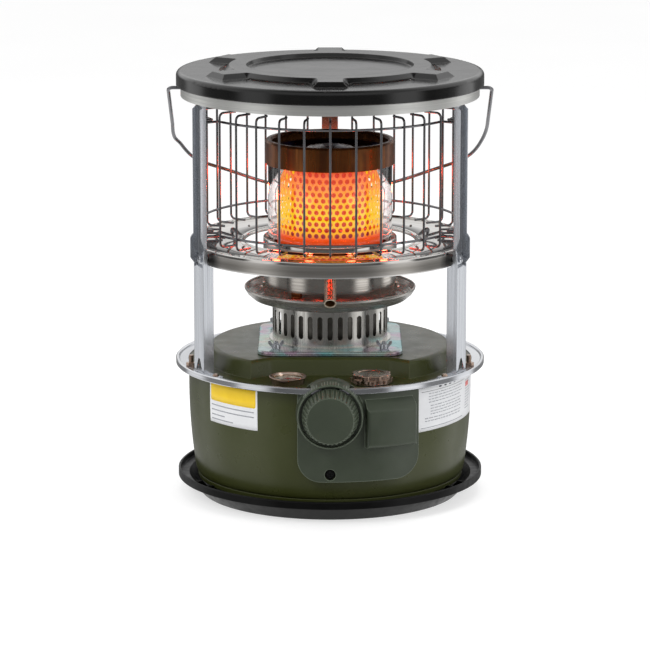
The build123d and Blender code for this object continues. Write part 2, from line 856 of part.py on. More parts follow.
with BuildPart() as burner_handle:
    with BuildSketch(handle_plane.offset(1)):
        Circle(handle_radius)
    extrude(amount=handle_length - 1)
    with BuildSketch(handle_plane.offset(handle_length)):
        Circle(handle_radius - 1)
    extrude(amount=-12, mode=Mode.SUBTRACT)
    # The inner end is shaped to the skirt.
    with BuildSketch(Plane.XY.offset(200)):
        Circle(skirt_radius + 0.05)
    extrude(amount=60, mode=Mode.SUBTRACT)
finish(burner_handle, "burner_handle")

with BuildPart() as glass_seat_ring:
    revolve(
        solid_section(
            (63.2, 267), (70.2, 267), (70.2, 261), (71, 261), (71, 274.6), (70.6, 275.4), (70.2, 274.6),
            (70.2, 268), (63.2, 268),
        )
    )
finish(glass_seat_ring, "glass_seat_ring")

with BuildPart() as glass_chimney:
    with BuildSketch(Plane.XZ):
        with BuildLine():
            Polyline(
                (glass_radius - 1.6, glass_bottom), (glass_radius, glass_bottom + 6),
                (glass_radius, glass_top),
            )
            offset(amount=2.2, side=Side.LEFT)
        make_face()
    revolve()
finish(glass_chimney, "glass_chimney")

with BuildPart() as outer_flame_tube:
    revolve(
        sheet_section(
            (guide_neck_radius + 2, guide_top + 0.05), (flame_tube_radius, guide_top + 0.05),
            (flame_tube_radius, 355.2),
            (67, 355.2), thickness=thin_sheet,
        )
    )
    # Holes for the pin that carries the inner tube.
    with BuildSketch(Plane.YZ):
        with Locations((0, 216)):
            Circle(1.65)
    extrude(amount=70, both=True, mode=Mode.SUBTRACT)
finish(outer_flame_tube, "outer_flame_tube")

with BuildPart() as inner_flame_tube:
    revolve(
        sheet_section(
            (inner_tube_radius, 206.4), (inner_tube_radius, 338), (36, 346), (12, 350),
            (0, 350), thickness=thin_sheet,
        )
    )
    with BuildSketch(Plane.YZ):
        with Locations((0, 216)):
            Circle(1.65)
    extrude(amount=70, both=True, mode=Mode.SUBTRACT)
finish(inner_flame_tube, "inner_flame_tube")

with BuildPart() as cross_pin:
    with BuildSketch(Plane.YZ):
        with Locations((0, 216)):
            Circle(1.6)
    extrude(amount=flame_tube_radius + 2, both=True)
finish(cross_pin, "cross_pin")

with BuildPart() as burner_cap_ring:
    revolve(
        sheet_section(
            (cap_ring_radius, 354.3), (cap_ring_radius, 377.6), (cap_ring_radius - 1.6, 379.8),
            (63.5, 379.8),
            (61.6, 377.4), thickness=1,
        )
    )
finish(burner_cap_ring, "burner_cap_ring")

with BuildPart() as burner_top_dish:
    revolve(
        sheet_section(
            (67.4, 356.3), (67.4, 370), (61, 370), (58, 366.5), (30, 366.5), (24, 371), (8, 373), (0, 373),
            thickness=thin_sheet,
        )
    )
finish(burner_top_dish, "burner_top_dish")

# ------------------------------------------------------------------ reflector plate, legs and posts

with BuildPart() as reflector_plate:
    revolve(
        sheet_section(
            (plate_radius, 257.5), (plate_radius, 273.4), (plate_radius - 0.8, plate_rim_top),
            (plate_radius - 2.2, plate_rim_top), (plate_radius - 2.8, plate_top), (98.2, plate_top),
            (96.6, 272.2),
            (95.4, 273.3), (94, 273.8), (92.6, 273.3), (91.6, 272.2), (plate_hole_radius, 270.8),
            (plate_hole_radius - 0.2, 269.4),
            thickness=1,
        )
    )
    # Holes for the post screws.
    for azimuth in post_azimuths.values():
        with BuildSketch(facing_plane(azimuth, plate_radius - 3, post_screw_height)):
            Circle(2.05)
        extrude(amount=6, mode=Mode.SUBTRACT)
finish(reflector_plate, "reflector_plate")

for name, azimuth in post_azimuths.items():
    across = radial_plane(azimuth)
    with BuildPart() as leg:
        # Web, joggled inwards at the top into the post's channel.
        with BuildSketch(across):
            with BuildLine():
                Polyline(
                    (leg_web - 1.5, 143.5), (leg_web, 143.5), (leg_web, 256.5), (155.8, 259.5),
                    (155.8, 272),
                    (154.3, 272), (154.3, 259.1), (leg_web - 1.5, 256.1), close=True,
                )
            make_face()
        extrude(amount=leg_width / 2, both=True)
        # The tongue above the flanges is narrower, with a rounded head.
        with BuildSketch(facing_plane(azimuth)):
            with Locations((0, 200)):
                Rectangle(leg_width, 113)
            with Locations((0, 261)):
                Rectangle(15, 9)
            with Locations((0, 264.4)):
                Circle(7.5)
        extrude(amount=170, mode=Mode.INTERSECT)
        # Flanges, carried up beside the post in a curved horn.
        for side in (-1, 1):
            with BuildSketch(across.offset(side * leg_width / 2)):
                with BuildLine():
                    Polyline(
                        (146.7, 143.5), (leg_web, 143.5), (leg_web, 258), (158, 268), (157.2, 275),
                        (156, 275), (154.9, 267), (153.2, 261), (150.5, 257.4), (146.7, 256.4), close=True,
                    )
                make_face()
            extrude(amount=-side * 1.5)
        # Foot plate along the guard ring.
        with BuildSketch(turned_plane(azimuth).offset(143.5)):
            Circle(160)
            Circle(151.8, mode=Mode.SUBTRACT)
            with Locations((160, 0)):
                Rectangle(40, 66, mode=Mode.INTERSECT)
        extrude(amount=1.5)
        # Arched opening at the foot of the web.
        with BuildSketch(facing_plane(azimuth)):
            with BuildLine():
                Polyline((-7, 146), (7, 146), (1.6, 159), (-1.6, 159), close=True)
            make_face()
            fillet(vertices(), 1.2)
            with Locations((0, post_screw_height)):
                Circle(2.05)
        extrude(amount=170, mode=Mode.SUBTRACT)
        # Holes for the foot bolt and the rivet.
        with BuildSketch(turned_plane(azimuth).offset(143)):
            with PolarLocations(156, 2, start_angle=-10, angular_range=20, endpoint=True):
                Circle(2.6)
        extrude(amount=4, mode=Mode.SUBTRACT)
    finish(leg, f"leg_{name}")

    with BuildPart() as post:
        with BuildSketch(turned_plane(azimuth).offset(258)):
            with Locations((post_web + 0.6, 0)):
                Rectangle(1.2, post_width)
            for side in (-1, 1):
                with Locations((post_web + post_flange / 2, side * (post_width - 1.2) / 2)):
                    Rectangle(post_flange, 1.2)
        extrude(amount=168.5)
        # Flanges are cut back beside the leg's tongue and mitred off under the top ring.
        with BuildSketch(across):
            with BuildLine():
                Polyline(
                    (post_web + 1.2, 250), (164, 250), (164, 288), (post_web + post_flange, 288),
                    (post_web + 3, 276), (post_web + 1.2, 268), close=True,
                )
            make_face()
            with BuildLine():
                Polyline((post_web + 1.2, 427.5), (164, 427.5), (164, 419), close=True)
            make_face()
        extrude(amount=20, both=True, mode=Mode.SUBTRACT)
        # Rounded ear on the flange that faces away from the front.
        for side in post_ear_sides[name]:
            with BuildSketch(across.offset(-side * post_width / 2)):
                with BuildLine():
                    Polyline(
                        (post_web + 0.6, 260), (159, 260), (163.7, 266), (163.7, 287), (159, 293),
                        (post_web + 0.6, 293), close=True,
                    )
                make_face()
                fillet(vertices().filter_by_position(Axis.X, 158, 164), 2.5)
            extrude(amount=side * 1.2)
        # Tab that runs up inside the ring.
        with BuildSketch(across):
            with BuildLine():
                Polyline(
                    (post_web, 426), (post_web + 1.2, 426), (156.4, 429.5), (156.4, 446),
                    (155.2, 446), (155.2, 430),
                    (post_web, 427.4), close=True,
                )
            make_face()
        extrude(amount=post_width / 2 - 1.5, both=True)
        with BuildSketch(facing_plane(azimuth)):
            with Locations((0, post_screw_height)):
                Circle(2.05)
        extrude(amount=170, mode=Mode.SUBTRACT)
    finish(post, f"post_{name}")

with BuildPart() as post_screws:
    for azimuth in post_azimuths.values():
        face = facing_plane(azimuth, 155.85, post_screw_height)
        with BuildSketch(face):
            Circle(3.8)
        extrude(amount=2.4)
        with BuildSketch(face):
            Circle(1.95)
        extrude(amount=-11)
        with BuildSketch(face.offset(2.5)):
            Rectangle(6, 1)
            Rectangle(1, 6)
        extrude(amount=-1.3, mode=Mode.SUBTRACT)
finish(post_screws, "post_screws")

with BuildPart() as post_spacers:
    for azimuth in post_azimuths.values():
        face = facing_plane(azimuth, plate_radius + 0.15, post_screw_height)
        with BuildSketch(face):
            Circle(4)
            Circle(2.05, mode=Mode.SUBTRACT)
        extrude(amount=post_web - plate_radius - 0.2)
finish(post_spacers, "post_spacers")

with BuildPart() as foot_bolts:
    for azimuth in post_azimuths.values():
        for side in (10, -10):
            spot = Plane(origin=Vector(156, 0, 145).rotate(Axis.Z, azimuth + side))
            if azimuth == 90 or (side > 0) == (azimuth == 330):
                with BuildSketch(spot):
                    RegularPolygon(4.75, 6, major_radius=False)
                extrude(amount=4)
                with BuildSketch(spot):
                    Circle(2.5)
                extrude(amount=12)
            else:
                with BuildSketch(spot):
                    Circle(3.6)
                extrude(amount=2, taper=35)
            with BuildSketch(spot.offset(-1.5)):
                Circle(2.5)
            extrude(amount=1.5)
finish(foot_bolts, "foot_bolts")

# ------------------------------------------------------------------ wire guard

wire_bottom = 278
wire_top = 419
wire_hook = 20

for name, sector_azimuth in guard_azimuths.items():
    with BuildPart() as guard:
        for index in range(guard_wires_per_sector):
            step = index - (guard_wires_per_sector - 1) / 2
            wire_azimuth = sector_azimuth + step * guard_pitches[name]
            wire_plane = radial_plane(wire_azimuth)
            with BuildLine(wire_plane) as wire_path:
                FilletPolyline(
                    (guard_radius - wire_hook, wire_bottom), (guard_radius, wire_bottom),
                    (guard_radius, wire_top), (guard_radius - wire_hook, wire_top), radius=5,
                )
            with BuildSketch(Plane(origin=wire_path.line @ 0, z_dir=wire_path.line % 0)):
                Circle(guard_wire)
            sweep(path=wire_path.line)
    finish(guard, f"guard_{name}")

hoop_heights = {"front": (289.4, 409.5), "rear_left": (292, 409.5), "rear_right": (292, 409.5)}
hoop_half_arc = 57

with BuildPart() as guard_hoops:
    for name, sector_azimuth in guard_azimuths.items():
        for height in hoop_heights[name]:
            start = radial_plane(sector_azimuth - hoop_half_arc)
            with BuildSketch(start):
                with Locations((hoop_radius, height)):
                    Circle(hoop_wire)
            revolve(axis=Axis.Z, revolution_arc=2 * hoop_half_arc)
            for end in (-hoop_half_arc, hoop_half_arc):
                tip = Vector(hoop_radius, 0, height).rotate(Axis.Z, sector_azimuth + end)
                with BuildSketch(Plane(origin=tip, z_dir=(tip.X, tip.Y, 0))):
                    Circle(hoop_wire)
                extrude(amount=post_web - 0.3 - hoop_radius)
                with Locations(tip):
                    Sphere(hoop_wire)
finish(guard_hoops, "guard_hoops")

# ------------------------------------------------------------------ top

bail_hole_radius = bail_wire + 0.1

with BuildPart() as top_ring:
    revolve(sheet_section((ring_radius, 427), (ring_radius, 452.2), (150, 452.2)))
    with BuildSketch(Plane.YZ):
        with Locations((0, bail_pivot_height)):
            Circle(bail_hole_radius)
    extrude(amount=180, both=True, mode=Mode.SUBTRACT)
finish(top_ring, "top_ring")

star_arms = 6
star_reach = 139
star_ring_radius = 112


def top_form(inset):
    """Solid under the top's face: a flat drum with a raised ring and six arms."""
    foot_shift = -0.4 * inset
    with BuildPart() as form:
        with BuildSketch(Plane.XY.offset(top_rim_bottom - inset)):
            Circle(top_radius - inset)
        extrude(amount=top_surface - top_rim_bottom)
        fillet(faces().sort_by(Axis.Z)[-1].edges(), 5 - inset)
        with BuildSketch(Plane.XY.offset(top_surface - inset)):
            Circle(star_ring_radius + foot_shift)
            for arm in range(star_arms):
                arm_azimuth = 270 + arm * 360 / star_arms
                reach = star_reach + foot_shift
                half_width = 18.5 + foot_shift
                with Locations(turned_plane(arm_azimuth)):
                    with Locations((reach / 2, 0)):
                        Rectangle(reach, 2 * half_width)
        extrude(amount=star_height, taper=45)
        with BuildSketch(Plane.XY.offset(top_surface - inset + star_height)):
            Circle(88.4 + inset)
        extrude(amount=1 - star_height, taper=15, mode=Mode.SUBTRACT)
    return form.part


with BuildPart() as top_plate:
    add(top_form(0))
    add(top_form(sheet), mode=Mode.SUBTRACT)
    # Vent slots between the arms, at the foot of the raised ring.
    with BuildSketch(Plane.XY.offset(top_surface + 1)):
        for arm in range(star_arms):
            middle = 240 + arm * 360 / star_arms
            slot_centre = Edge.make_circle(
                star_ring_radius + 1.8, start_angle=middle - 18, end_angle=middle + 18,
            )
            SlotArc(slot_centre, 6)
    extrude(amount=-6, mode=Mode.SUBTRACT)
finish(top_plate, "top_plate")

with BuildPart() as heat_deflector:
    revolve(
        sheet_section((124, 425), (118, 431), (0, 431), thickness=thin_sheet)
    )
    # Three hanger straps up to the underside of the top.
    for azimuth in (30, 150, 270):
        with BuildSketch(radial_plane(azimuth)):
            with BuildLine():
                Polyline(
                    (100, 431), (106, 431), (106, 452.2 - 2 * sheet), (154, 452.2 - 2 * sheet),
                    (154, 452.2 - sheet), (104.8, 452.2 - sheet), (104.8, 432.2), (100, 432.2), close=True,
                )
            make_face()
        extrude(amount=6, both=True)
finish(heat_deflector, "heat_deflector")

# ------------------------------------------------------------------ carrying bail

bail_plane = Plane(
    origin=(0, 0, bail_pivot_height), x_dir=(1, 0, 0),
    z_dir=(0, sin(radians(bail_rest_angle)), cos(radians(bail_rest_angle))),
)

with BuildPart() as bail:
    with BuildLine(bail_plane) as bail_path:
        right_end = FilletPolyline((152, 0), (bail_end_x, 0), (bail_end_x - 2, 74), radius=5)
        Spline(
            right_end @ 1, (163, 112), (149, 143), (118, 167), (73, 196), (0, 216.2),
            (-73, 196), (-118, 167), (-149, 143), (-163, 112), (-bail_end_x + 2, 74),
            tangents=(right_end % 1, (right_end % 1).rotate(Axis.Z, 0) * -1),
        )
        FilletPolyline((-bail_end_x + 2, 74), (-bail_end_x, 0), (-152, 0), radius=5)
    with BuildSketch(Plane(origin=bail_path.line @ 0, z_dir=bail_path.line % 0)):
        Circle(bail_wire)
    sweep(path=bail_path.line)
    # Upset heads that keep the ends in the ring.
    for side in (-1, 1):
        head_centre = (side * 154.6, 0, bail_pivot_height)
        with BuildSketch(Plane(origin=head_centre, x_dir=(0, 1, 0), z_dir=(-side, 0, 0))):
            Circle(3.2)
        extrude(amount=2)
finish(bail, "bail")
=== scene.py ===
import random
from math import cos, pi, radians, sin, sqrt

import bmesh
import bpy
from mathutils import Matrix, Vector


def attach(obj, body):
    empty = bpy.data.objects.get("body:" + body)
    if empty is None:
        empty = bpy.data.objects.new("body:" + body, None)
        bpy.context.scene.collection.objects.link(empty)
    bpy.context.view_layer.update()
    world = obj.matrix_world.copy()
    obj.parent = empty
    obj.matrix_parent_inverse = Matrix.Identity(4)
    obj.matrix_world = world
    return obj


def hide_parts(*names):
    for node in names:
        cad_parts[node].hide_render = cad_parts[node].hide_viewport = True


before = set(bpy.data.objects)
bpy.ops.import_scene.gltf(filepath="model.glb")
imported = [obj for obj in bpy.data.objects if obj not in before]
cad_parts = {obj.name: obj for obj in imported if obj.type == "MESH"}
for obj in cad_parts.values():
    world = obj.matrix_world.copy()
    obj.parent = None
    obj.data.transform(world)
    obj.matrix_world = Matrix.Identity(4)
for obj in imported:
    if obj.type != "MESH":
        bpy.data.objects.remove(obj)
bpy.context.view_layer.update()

MM = 0.001


# ---------------------------------------------------------------- materials


def srgb(code):
    """Linear colour of a web colour such as 444830."""
    channels = [int(code[i:i + 2], 16) / 255 for i in (0, 2, 4)]
    return tuple(c / 12.92 if c <= 0.04045 else ((c + 0.055) / 1.055) ** 2.4 for c in channels) + (1,)


class Finish:
    """A procedural material: one Principled shader, and nodes that add grain, variation and painted edge
    highlights to it.
    """

    def __init__(self, name, color, metallic=0.0, roughness=0.5, edge=0.0, **sockets):
        self.material = bpy.data.materials.new(name)
        self.material.use_nodes = True
        self.tree = self.material.node_tree
        self.shader = self.tree.nodes["Principled BSDF"]
        self.color = color if isinstance(color, tuple) else srgb(color)
        self.shader.inputs["Base Color"].default_value = self.color
        self.shader.inputs["Metallic"].default_value = metallic
        self.shader.inputs["Roughness"].default_value = roughness
        for socket, value in sockets.items():
            socket_name = socket.replace("_", " ").title().replace("Ior", "IOR")
            self.shader.inputs[socket_name].default_value = value
        self.normal = None
        if edge:
            bevel = self.node("ShaderNodeBevel", Radius=edge * MM)
            bevel.samples = 6
            self.normal = bevel.outputs["Normal"]
            self.link(self.normal, self.shader.inputs["Normal"])

    def node(self, kind, **inputs):
        made = self.tree.nodes.new(kind)
        for name, value in inputs.items():
            made.inputs[name.replace("_", " ")].default_value = value
        return made

    def link(self, source, target):
        self.tree.links.new(source, target)

    def place(self, scale, about=None):
        """Place on the object, stretched by scale. With about, x is the radius from there and y the angle."""
        point = self.tree.nodes.new("ShaderNodeTexCoord").outputs["Object"]
        if about is not None:
            shift = self.node("ShaderNodeVectorMath")
            shift.operation = "SUBTRACT"
            shift.inputs[1].default_value = (about[0], about[1], 0)
            self.link(point, shift.inputs[0])
            flat = self.node("ShaderNodeVectorMath")
            flat.operation = "MULTIPLY"
            flat.inputs[1].default_value = (1, 1, 0)
            self.link(shift.outputs[0], flat.inputs[0])
            radius = self.node("ShaderNodeVectorMath")
            radius.operation = "LENGTH"
            self.link(flat.outputs[0], radius.inputs[0])
            parts = self.tree.nodes.new("ShaderNodeSeparateXYZ")
            self.link(shift.outputs[0], parts.inputs[0])
            angle = self.node("ShaderNodeMath")
            angle.operation = "ARCTAN2"
            self.link(parts.outputs["Y"], angle.inputs[0])
            self.link(parts.outputs["X"], angle.inputs[1])
            joined = self.tree.nodes.new("ShaderNodeCombineXYZ")
            self.link(radius.outputs["Value"], joined.inputs["X"])
            self.link(angle.outputs[0], joined.inputs["Y"])
            self.link(parts.outputs["Z"], joined.inputs["Z"])
            point = joined.outputs[0]
        mapping = self.tree.nodes.new("ShaderNodeMapping")
        mapping.inputs["Scale"].default_value = scale
        self.link(point, mapping.inputs["Vector"])
        return mapping.outputs["Vector"]

    def noise(self, scale, detail=3.0, about=None, distortion=0.0):
        """Noise of one scale, or of a scale for each axis."""
        if not isinstance(scale, tuple):
            scale = (scale, scale, scale)
        made = self.node("ShaderNodeTexNoise", Scale=1.0, Detail=detail, Distortion=distortion)
        self.link(self.place(scale, about), made.inputs["Vector"])
        return made.outputs["Fac"]

    def spread(self, fac, low, high, start=0.3, end=0.7):
        made = self.node("ShaderNodeMapRange")
        for index, value in enumerate((start, end, low, high), start=1):
            made.inputs[index].default_value = value
        self.link(fac, made.inputs[0])
        return made.outputs[0]

    def tint(self, fac, color, amount=1.0, start=0.35, end=0.65):
        """The colour drifts towards another one where fac is high."""
        mix = self.tree.nodes.new("ShaderNodeMix")
        mix.data_type = "RGBA"
        socket = self.shader.inputs["Base Color"]
        if socket.is_linked:
            self.link(socket.links[0].from_socket, mix.inputs[6])
        else:
            mix.inputs[6].default_value = self.color
        mix.inputs[7].default_value = color if isinstance(color, tuple) else srgb(color)
        self.link(self.spread(fac, 0.0, amount, start, end), mix.inputs[0])
        self.link(mix.outputs[2], socket)
        return self

    def painted_edge_highlights(self, color, amount):
        """Painted highlight: the colour lightens on edges and corners, where the bevelled normal leaves the
        true one.
        """
        true_normal = self.tree.nodes.new("ShaderNodeNewGeometry").outputs["True Normal"]
        match = self.node("ShaderNodeVectorMath")
        match.operation = "DOT_PRODUCT"
        bevel = next(node for node in self.tree.nodes if node.bl_idname == "ShaderNodeBevel")
        self.link(bevel.outputs["Normal"], match.inputs[0])
        self.link(true_normal, match.inputs[1])
        return self.tint(match.outputs["Value"], color, amount, 0.995, 0.9)

    def rough(self, fac, low, high, start=0.3, end=0.7):
        self.link(self.spread(fac, low, high, start, end), self.shader.inputs["Roughness"])
        return self

    def bump(self, fac, depth, strength=1.0):
        made = self.node("ShaderNodeBump", Strength=strength, Distance=depth * MM)
        self.link(fac, made.inputs["Height"])
        if self.normal is not None:
            self.link(self.normal, made.inputs["Normal"])
        self.normal = made.outputs["Normal"]
        self.link(self.normal, self.shader.inputs["Normal"])
        return self

    def height(self, *stops):
        """A colour that depends on the height above the floor: (height in mm, colour) stops."""
        parts = self.tree.nodes.new("ShaderNodeSeparateXYZ")
        self.link(self.tree.nodes.new("ShaderNodeTexCoord").outputs["Object"], parts.inputs[0])
        low, high = stops[0][0], stops[-1][0]
        fac = self.spread(parts.outputs["Z"], 0.0, 1.0, low * MM, high * MM)
        ramp = self.tree.nodes.new("ShaderNodeValToRGB")
        for index, (level, color) in enumerate(stops):
            place = (level - low) / (high - low)
            if index == 0:
                stop = ramp.color_ramp.elements[0]
                stop.position = 0
            elif index == 1:
                stop = ramp.color_ramp.elements[1]
                stop.position = place
            else:
                stop = ramp.color_ramp.elements.new(place)
            stop.color = color if isinstance(color, tuple) else srgb(color)
        self.link(fac, ramp.inputs[0])
        return ramp.outputs["Color"]


def paint(finish, *nodes):
    """The CAD nodes take this finish."""
    for name in nodes:
        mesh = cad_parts[name].data
        if not mesh.materials:
            mesh.materials.append(finish.material)
        for index in range(len(mesh.materials)):
            mesh.materials[index] = finish.material


# Olive stoving enamel on the tank, with a faint orange peel.
tank_paint = Finish(
    "olive_enamel", "343818", roughness=0.34, edge=1.2, specular_ior_level=0.28,
    coat_weight=0.06, coat_roughness=0.15,
)
tank_paint.tint(tank_paint.noise(9, 4), "42462c", 0.6)
# Painted highlight: the olive lightens towards 5a5d40 along edges and corners.
tank_paint.painted_edge_highlights("5a5d40", 0.3)
tank_paint.rough(tank_paint.noise(60, 4), 0.26, 0.36)
tank_paint.bump(tank_paint.noise(700, 1), 0.012, 0.2)

# Satin plastic of the cover and the knob, a little bluer than the tank.
cover_plastic = Finish("olive_plastic", "333a2e", roughness=0.36, edge=1.4, specular_ior_level=0.42)
cover_plastic.tint(cover_plastic.noise(25, 3), "3d4437", 0.5)
# Painted highlight: the plastic lightens towards 7d8776 along edges and corners.
cover_plastic.painted_edge_highlights("7d8776", 0.55)
cover_plastic.rough(cover_plastic.noise(90, 4), 0.3, 0.42)
cover_plastic.bump(cover_plastic.noise(1500, 2), 0.02, 0.25)

tray_plastic = Finish("black_plastic", "030303", roughness=0.36, edge=0.8, specular_ior_level=0.16)
tray_plastic.tint(tray_plastic.noise(40, 4), "070707", 0.7)
# Painted highlight: the black plastic lightens towards 2c2c2c along edges and corners.
tray_plastic.painted_edge_highlights("2c2c2c", 0.6)
tray_plastic.rough(tray_plastic.noise(120, 4), 0.3, 0.46)
tray_plastic.bump(tray_plastic.noise(1300, 2), 0.025, 0.3)

top_enamel = Finish(
    "black_enamel", "040404", roughness=0.26, edge=1.6, specular_ior_level=0.4,
    coat_weight=0.25, coat_roughness=0.08,
)
top_enamel.tint(top_enamel.noise(14, 4), "0a0908", 0.6)
# Painted highlight: the black enamel lightens towards 4a4744 along edges and corners.
top_enamel.painted_edge_highlights("4a4744", 0.5)
top_enamel.rough(top_enamel.noise(35, 5), 0.16, 0.26)
top_enamel.bump(top_enamel.noise(500, 2), 0.02, 0.3)

# Brushed steel whose grain runs round the object.
brushed_steel = Finish("brushed_steel", "a9a6a0", metallic=1.0, roughness=0.3, edge=0.4)
streaks = brushed_steel.noise((5, 5, 1400), 4)
brushed_steel.tint(streaks, "85817b", 0.55)
brushed_steel.rough(streaks, 0.22, 0.42)
brushed_steel.bump(streaks, 0.012, 0.4)

ring_steel = Finish("ring_steel", "d6d6d2", metallic=0.9, roughness=0.35, edge=0.4)
streaks = ring_steel.noise((7, 7, 1100), 4)
ring_steel.tint(streaks, "b4b4b4", 0.5)
ring_steel.rough(streaks, 0.3, 0.48)
ring_steel.bump(streaks, 0.012, 0.4)

# Mirror sheet of the reflector, brushed on its upright band, where a painted darker reflection lies.
plate_steel = Finish("plate_steel", "b5b2ae", metallic=1.0, roughness=0.06, edge=0.5)
swirl = plate_steel.noise((700, 2.2, 900), 3, about=(0, 0))
# Colour by height: painted white highlights on the rolled rims at bottom and top, and a painted darker
# reflection across the upright band.
plate_steel.link(
    plate_steel.height(
        (257.4, "ffffff"), (258.4, "f4f2ee"), (259.4, "bdb9b4"), (264, "a8a49e"), (269, "bdb9b4"),
        (271.3, "cfccc8"), (273, "dcdad6"), (274.4, "f4f3f1"),
    ),
    plate_steel.shader.inputs["Base Color"],
)
plate_steel.tint(swirl, "77736d", 0.3)
level = plate_steel.tree.nodes.new("ShaderNodeSeparateXYZ")
plate_steel.link(plate_steel.tree.nodes.new("ShaderNodeTexCoord").outputs["Object"], level.inputs[0])
plate_steel.rough(level.outputs["Z"], 0.34, 0.035, 0.2703, 0.2712)

# Chrome of the ring round the tank.
chrome_ring = Finish("chrome_ring", "d4d6da", metallic=1.0, roughness=0.12, edge=0.5)
streaks = chrome_ring.noise((7, 7, 700), 4)
chrome_ring.tint(streaks, "b4b6bc", 0.5)
chrome_ring.rough(streaks, 0.08, 0.22)
chrome_ring.bump(streaks, 0.008, 0.25)

chrome = Finish("bright_plating", "87878a", metallic=1.0, roughness=0.14)
chrome.rough(chrome.noise(160, 4), 0.1, 0.26)
chrome.tint(chrome.noise(50, 4), "6f6f72", 0.6)
chrome.bump(chrome.noise(700, 2), 0.01, 0.3)

zinc_post = Finish("zinc_plated_post", "c6c9ce", metallic=0.9, roughness=0.16, edge=0.6)
drawn = zinc_post.noise((900, 900, 5), 3)
zinc_post.tint(drawn, "989ba1", 0.45)
zinc_post.rough(drawn, 0.12, 0.3)
zinc_post.bump(drawn, 0.012, 0.3)

# Yellow passivated zinc: pale with faint blue and pink patches.
iridescent = Finish("passivated_zinc", "9fb3b1", metallic=0.8, roughness=0.2, edge=0.8)
iridescent.tint(iridescent.noise(28, 2, distortion=0.6), "74b9bd", 0.8, 0.42, 0.58)
iridescent.tint(iridescent.noise((34, 30, 31), 2, distortion=0.9), "b98fa9", 0.75, 0.48, 0.62)
iridescent.tint(iridescent.noise((22, 26, 25), 2), "c3c09a", 0.5, 0.5, 0.66)
iridescent.rough(iridescent.noise(120, 4), 0.13, 0.3)
iridescent.bump(iridescent.noise(300, 2), 0.015, 0.3)

collar_steel = Finish("collar_steel", "cfcdc8", metallic=1.0, roughness=0.2, edge=0.25)
drawn = collar_steel.noise((500, 500, 12), 3)
collar_steel.tint(drawn, "9f9b94", 0.5)
collar_steel.rough(drawn, 0.14, 0.3)
collar_steel.bump(drawn, 0.01, 0.3)

dish_steel = Finish("dish_steel", "b4b1ac", metallic=0.8, roughness=0.3, edge=0.5)
swirl = dish_steel.noise((700, 2.0, 700), 3, about=(0, 0))
dish_steel.tint(swirl, "8f8c87", 0.6)
dish_steel.rough(swirl, 0.18, 0.36)
dish_steel.bump(swirl, 0.012, 0.35)

skirt_steel = Finish("skirt_steel", "c2bdb6", metallic=1.0, roughness=0.14, edge=0.3)
streaks = skirt_steel.noise((8, 8, 900), 4)
skirt_steel.tint(streaks, "8d867e", 0.5)
skirt_steel.rough(streaks, 0.14, 0.3)
skirt_steel.bump(streaks, 0.01, 0.3)

nickel = Finish("warm_nickel", "b8a08f", metallic=1.0, roughness=0.16, edge=0.5)
nickel.tint(nickel.noise(60, 4), "8c7466", 0.6)
nickel.rough(nickel.noise(220, 4), 0.12, 0.28)
nickel.bump(nickel.noise(900, 2), 0.01, 0.3)

bronze = Finish("heat_bronze", "b39684", metallic=0.9, roughness=0.24, edge=0.4)
bronze.tint(bronze.noise(90, 4), "84675a", 0.6)
bronze.rough(bronze.noise(260, 4), 0.2, 0.38)
bronze.bump(bronze.noise(700, 2), 0.012, 0.3)

# Steel of the burner cap, browned by the heat, with runs down its side.
heat_brown = Finish("heat_browned_steel", "74441b", metallic=0.8, roughness=0.28, edge=0.5)
runs = heat_brown.noise((150, 150, 9), 4)
heat_brown.tint(runs, "3d2210", 0.8, 0.35, 0.62)
heat_brown.tint(heat_brown.noise((40, 40, 60), 3), "7d4d22", 0.4, 0.5, 0.7)
heat_brown.rough(runs, 0.22, 0.42)
heat_brown.bump(runs, 0.02, 0.3)

heat_dark = Finish("heat_darkened_steel", "2a1710", metallic=0.9, roughness=0.25, edge=0.3)
patches = heat_dark.noise(45, 3, distortion=0.5)
heat_dark.tint(patches, "26305a", 0.7, 0.5, 0.64)
heat_dark.tint(heat_dark.noise((30, 34, 30), 3), "5b2f12", 0.7, 0.5, 0.68)
heat_dark.rough(patches, 0.18, 0.36)
heat_dark.bump(heat_dark.noise(200, 3), 0.03, 0.3)

red_hot = Finish("red_hot_mesh", "2a0d04", metallic=0.2, roughness=0.6, emission_strength=1.0)
red_hot.link(
    red_hot.height(
        (207, "2a0802"), (262, "6a1405"), (272, "b03008"), (281, "f0500e"), (286, "ffae12"), (302, "ffd21a"),
        (318, "ffc01c"), (331, "ff9d2a"), (344, "ff7a3a"), (351, "e0481c"), (356, "7a1c08"),
    ),
    red_hot.shader.inputs["Emission Color"],
)
red_hot.bump(red_hot.noise(300, 3), 0.03, 0.4)
red_hot.rough(red_hot.noise(150, 3), 0.5, 0.75)

red_core = Finish("red_hot_core", "2a0c05", metallic=0.2, roughness=0.7, emission_strength=0.9)
red_core.link(
    red_core.height(
        (207, "1d0301"), (262, "5c0c06"), (280, "8c1030"), (289, "c4241c"), (298, "e63a10"), (325, "ea3f12"),
        (340, "e23a1c"), (352, "a01c10"),
    ),
    red_core.shader.inputs["Emission Color"],
)
red_core.bump(red_core.noise(300, 3), 0.03, 0.4)
red_core.rough(red_core.noise(150, 3), 0.6, 0.8)

glass = Finish("clear_glass", (1.0, 0.95, 0.94, 1), roughness=0.0, transmission_weight=1.0, ior=1.47)
glass.bump(glass.noise((60, 60, 9), 2), 0.25, 0.25)
lens = Finish("clear_lens", (1.0, 1.0, 1.0, 1), roughness=0.02, transmission_weight=1.0, ior=1.45)
lens.bump(lens.noise(80, 2), 0.05, 0.1)


